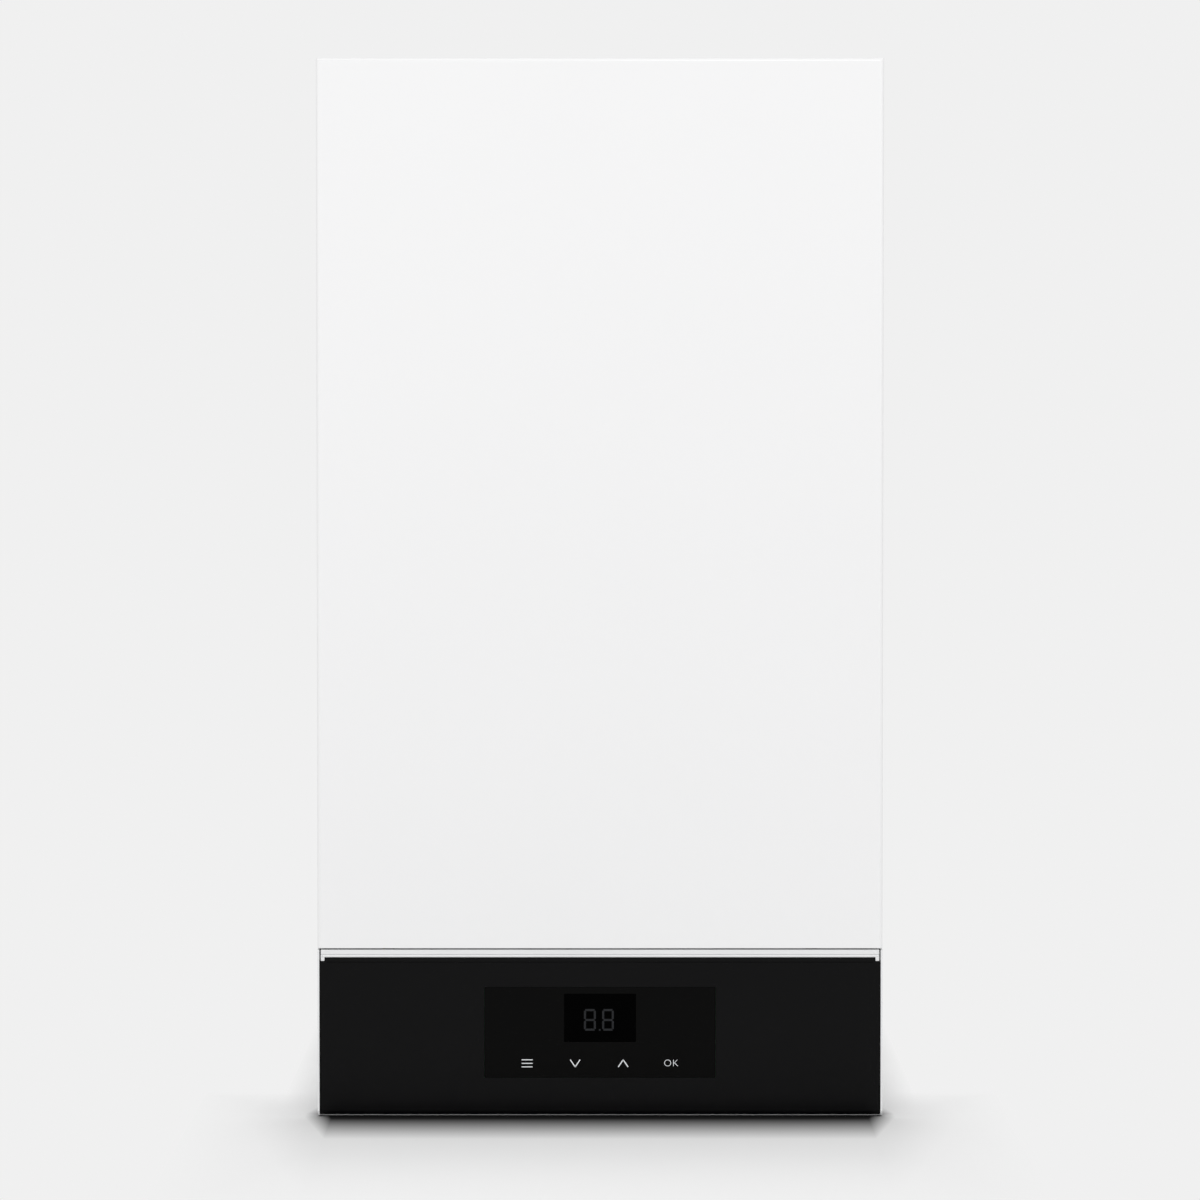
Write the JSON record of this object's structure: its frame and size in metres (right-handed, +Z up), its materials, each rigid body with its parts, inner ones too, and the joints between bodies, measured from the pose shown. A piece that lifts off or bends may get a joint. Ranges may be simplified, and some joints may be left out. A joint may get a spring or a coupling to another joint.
{
  "type": "combi boiler",
  "caption": "Wall-hung combi boiler: tall white sheet-metal casing over a fold-down black touch control panel, flue collar on top and pipe tails underneath.",
  "frame": {"origin": "middle of the footprint, on the plane of the bottom edges", "axes": "+Z up, front towards -Y, wall side towards +Y, +X to the right as seen from the front"},
  "size_m": [0.4, 0.3, 0.748],
  "materials": {
    "white_paint": "satin powder coat on sheet steel, very fine orange peel",
    "white_plastic": "moulded plastic, satin",
    "black_gloss": "gloss black moulded plastic",
    "black_glass": "smoked touch panel, polished",
    "grey_plastic": "matt moulded plastic",
    "red_plastic": "moulded plastic knob",
    "blue_plastic": "moulded plastic knob",
    "rubber": "matt EPDM rubber",
    "zinc_steel": "galvanised sheet steel with faint spangle",
    "stainless": "drawn stainless steel",
    "cast_aluminium": "die-cast, fine blasted skin",
    "brass": "forged brass",
    "copper": "drawn copper pipe",
    "circuit_board": "solder mask",
    "ceramic": "glazed insulator",
    "flue_plastic": "pale moulded plastic",
    "red_paint": "enamel on pressed steel"
  },
  "bodies": {
    "root": {"side_panel_left": "white_paint", "side_panel_right": "white_paint", "top_panel": "white_paint", "burner_gasket": "rubber", "condensate_hose": "rubber", "rear_panel": "zinc_steel", "base_plate": "zinc_steel", "front_rail": "zinc_steel", "top_rail": "zinc_steel", "wall_bracket": "zinc_steel", "hinge_bracket_left": "zinc_steel", "hinge_bracket_right": "zinc_steel", "heat_exchanger_bracket": "zinc_steel", "fan_motor": "grey_plastic", "ignition_transformer": "grey_plastic", "pump_volute": "grey_plastic", "diverter_motor": "grey_plastic", "cable_gland": "grey_plastic", "heat_exchanger_shell": "stainless", "heat_exchanger_coil": "stainless", "burner_tube": "stainless", "plate_heat_exchanger": "stainless", "burner_door": "cast_aluminium", "mixing_duct": "cast_aluminium", "fan_housing": "cast_aluminium", "gas_valve": "cast_aluminium", "pump_motor": "cast_aluminium", "ignition_electrode": "ceramic", "gas_pipe_upper": "copper", "gas_pipe_lower": "copper", "flow_pipe": "copper", "return_pipe": "copper", "flue_collar": "flue_plastic", "flue_outlet": "flue_plastic", "flue_socket": "flue_plastic", "siphon_body": "flue_plastic", "expansion_vessel": "red_paint", "flow_block": "brass", "return_block": "brass"},
    "control_unit": {"control_carrier": "white_plastic", "control_fascia": "black_gloss", "trim_strip": "white_plastic", "touch_panel": "black_glass", "display_module": "circuit_board", "control_housing": "grey_plastic", "housing_lid": "grey_plastic", "main_board": "circuit_board"},
    "front_cover": {"front_cover": "white_paint", "cover_seal": "rubber"},
    "cover_latch_left": {"cover_latch_left": "zinc_steel"},
    "cover_latch_right": {"cover_latch_right": "zinc_steel"},
    "fan_impeller": {"fan_impeller": "grey_plastic"},
    "pump_impeller": {"pump_impeller": "grey_plastic"},
    "flow_turbine": {"flow_turbine": "grey_plastic"},
    "diverter_spindle": {"diverter_spindle": "stainless"},
    "safety_valve_knob": {"safety_valve_knob": "red_plastic"},
    "drain_valve_knob": {"drain_valve_knob": "grey_plastic"},
    "fill_valve_knob": {"fill_valve_knob": "blue_plastic"},
    "air_vent_cap": {"air_vent_cap": "grey_plastic"},
    "siphon_cup": {"siphon_cup": "grey_plastic"}
  },
  "joints": [
    {"name": "control_unit_hinge", "type": "hinge", "parent": "root", "child": "control_unit", "pos_m": [0, -0.141, 0.012], "axis": [1, 0, 0], "range_deg": [0, 90]},
    {"name": "front_cover_lift", "type": "slide", "parent": "root", "child": "front_cover", "axis": [0, -0.7071, 0.7071], "range_m": [0, 0.3]},
    {"name": "cover_latch_left_turn", "type": "hinge", "parent": "front_cover", "child": "cover_latch_left", "pos_m": [-0.15, -0.128, 0.119], "axis": [0, 0, 1], "range_deg": [0, 90]},
    {"name": "cover_latch_right_turn", "type": "hinge", "parent": "front_cover", "child": "cover_latch_right", "pos_m": [0.15, -0.128, 0.119], "axis": [0, 0, 1], "range_deg": [0, 90]},
    {"name": "fan_spin", "type": "hinge", "parent": "root", "child": "fan_impeller", "pos_m": [0.122, -0.1, 0.525], "axis": [0, 1, 0], "continuous": true},
    {"name": "pump_spin", "type": "hinge", "parent": "root", "child": "pump_impeller", "pos_m": [0.12, 0.02, 0.11], "axis": [0, 1, 0], "continuous": true},
    {"name": "flow_turbine_spin", "type": "hinge", "parent": "root", "child": "flow_turbine", "pos_m": [0.066, 0.085, 0.052], "axis": [0, 0, 1], "continuous": true},
    {"name": "diverter_shift", "type": "slide", "parent": "root", "child": "diverter_spindle", "axis": [0, 1, 0], "range_m": [0, 0.006]},
    {"name": "safety_valve_turn", "type": "hinge", "parent": "root", "child": "safety_valve_knob", "pos_m": [0.15, 0.01, 0.182], "axis": [0, 1, 0], "range_deg": [0, 90]},
    {"name": "drain_valve_turn", "type": "hinge", "parent": "root", "child": "drain_valve_knob", "pos_m": [-0.099, 0.045, 0.053], "axis": [0, 1, 0], "range_deg": [0, 90]},
    {"name": "fill_valve_turn", "type": "hinge", "parent": "root", "child": "fill_valve_knob", "pos_m": [0.099, 0.045, 0.053], "axis": [0, 1, 0], "range_deg": [0, 90]},
    {"name": "air_vent_turn", "type": "hinge", "parent": "root", "child": "air_vent_cap", "pos_m": [0.12, 0.031, 0.18], "axis": [0, 0, 1], "range_deg": [0, 360]},
    {"name": "siphon_cup_turn", "type": "hinge", "parent": "root", "child": "siphon_cup", "pos_m": [-0.12, -0.02, 0.03], "axis": [0, 0, 1], "range_deg": [0, 90]}
  ]
}
